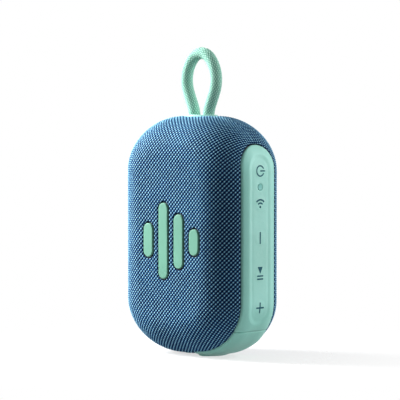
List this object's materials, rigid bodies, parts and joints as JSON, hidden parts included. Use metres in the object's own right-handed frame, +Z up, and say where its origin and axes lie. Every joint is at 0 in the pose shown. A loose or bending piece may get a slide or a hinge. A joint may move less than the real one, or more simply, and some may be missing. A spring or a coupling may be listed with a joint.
{
  "type": "portable bluetooth speaker",
  "caption": "Pillow-shaped portable speaker in knit cloth, with a silicone control strip down one side, a port cover and foot below it and a braided carrying loop on top.",
  "frame": {"origin": "on the surface the foot stands on, under the middle of the body", "axes": "+Z up, front face towards -Y, control strip on the +X side"},
  "size_m": [0.0823, 0.0477, 0.1551],
  "materials": {
    "cloth_blue": "blue knit cloth with an open diagonal mesh",
    "badge_mint": "satin moulded plastic",
    "grille_metal": "dark powder coat",
    "silicone_mint": "soft-touch silicone",
    "lens_milky": "milky light guide",
    "trim_mint": "satin moulded plastic",
    "cord_mint": "braided polyester cord",
    "case_plastic": "fine-textured moulded plastic",
    "seal_rubber": "soft black rubber",
    "steel": "zinc-plated steel",
    "basket_metal": "black stamped steel",
    "plated_metal": "nickel plate",
    "magnet_metal": "nickel-plated magnet",
    "coil_copper": "enamelled copper",
    "spider_cloth": "resin-dipped cloth",
    "cone_paper": "coated pulp",
    "cell_wrap": "heat-shrunk film",
    "lead_red": "insulated lead",
    "lead_black": "insulated lead",
    "board_green": "solder mask",
    "chip_black": "moulded package",
    "socket_white": "moulded nylon",
    "flex_amber": "polyimide flex"
  },
  "bodies": {
    "root": {"badge_bars": "badge_mint", "base_foot": "silicone_mint", "battery_cell": "cell_wrap", "battery_cradle": "case_plastic", "battery_lead": "lead_red", "battery_socket": "socket_white", "board_components": "chip_black", "board_screws": "steel", "control_strip": "silicone_mint", "driver_basket": "basket_metal", "driver_gasket": "seal_rubber", "driver_magnet": "magnet_metal", "driver_screws": "steel", "driver_spider": "spider_cloth", "driver_surround": "seal_rubber", "fabric_cover": "cloth_blue", "front_grille": "grille_metal", "housing_screws": "steel", "housing_seal": "seal_rubber", "key_board": "board_green", "key_board_screws": "steel", "key_flex": "flex_amber", "key_switches": "chip_black", "led_lens": "lens_milky", "magnet_yoke": "plated_metal", "main_board": "board_green", "main_housing": "case_plastic", "pole_plate": "plated_metal", "port_board": "board_green", "port_flex": "flex_amber", "radiator_frame": "case_plastic", "radiator_screws": "steel", "radiator_surround": "seal_rubber", "rear_baffle": "case_plastic", "rear_grille": "grille_metal", "speaker_leads": "lead_black", "speaker_terminals": "coil_copper", "status_led": "socket_white", "strap_anchor": "case_plastic", "strap_ends": "cord_mint", "strap_pin": "steel", "strap_trim": "trim_mint", "usb_socket": "plated_metal"},
    "power_button": {"power_key": "silicone_mint", "power_switch_stem": "socket_white"},
    "pairing_button": {"pairing_key": "silicone_mint", "pairing_switch_stem": "socket_white"},
    "volume_down_button": {"volume_down_key": "silicone_mint", "volume_down_switch_stem": "socket_white"},
    "play_button": {"play_key": "silicone_mint", "play_switch_stem": "socket_white"},
    "volume_up_button": {"volume_up_key": "silicone_mint", "volume_up_switch_stem": "socket_white"},
    "port_flap": {"port_cover": "silicone_mint"},
    "carry_loop": {"strap_loop": "cord_mint"},
    "cone_assembly": {"driver_cone": "cone_paper", "dust_cap": "cone_paper", "voice_coil": "coil_copper"},
    "radiator_mass": {"radiator_plate": "cone_paper", "radiator_weight": "plated_metal"}
  },
  "joints": [
    {"name": "power_press", "type": "slide", "parent": "root", "child": "power_button", "axis": [-1, 0, 0], "range_m": [0, 0.00035], "stiffness_N_per_m": 2000},
    {"name": "pairing_press", "type": "slide", "parent": "root", "child": "pairing_button", "axis": [-1, 0, 0], "range_m": [0, 0.00035], "stiffness_N_per_m": 2000},
    {"name": "volume_down_press", "type": "slide", "parent": "root", "child": "volume_down_button", "axis": [-1, 0, 0], "range_m": [0, 0.00035], "stiffness_N_per_m": 2000},
    {"name": "play_press", "type": "slide", "parent": "root", "child": "play_button", "axis": [-1, 0, 0], "range_m": [0, 0.00035], "stiffness_N_per_m": 2000},
    {"name": "volume_up_press", "type": "slide", "parent": "root", "child": "volume_up_button", "axis": [-1, 0, 0], "range_m": [0, 0.00035], "stiffness_N_per_m": 2000},
    {"name": "port_flap_open", "type": "hinge", "parent": "root", "child": "port_flap", "pos_m": [0.02704, 0, 0.00549], "axis": [0, 1, 0], "range_deg": [0, 60], "stiffness_Nm_per_rad": 0.005},
    {"name": "carry_loop_swing", "type": "hinge", "parent": "root", "child": "carry_loop", "pos_m": [0, 0, 0.1246], "axis": [1, 0, 0], "range_deg": [-80, 80], "stiffness_Nm_per_rad": 0.006},
    {"name": "cone_travel", "type": "slide", "parent": "root", "child": "cone_assembly", "axis": [0, -1, 0], "range_m": [-0.0018, 0.0018], "stiffness_N_per_m": 1500, "deforming": ["driver_surround", "driver_spider"]},
    {"name": "radiator_travel", "type": "slide", "parent": "root", "child": "radiator_mass", "axis": [0, 1, 0], "range_m": [-0.002, 0.002], "stiffness_N_per_m": 900, "deforming": ["radiator_surround"]}
  ]
}
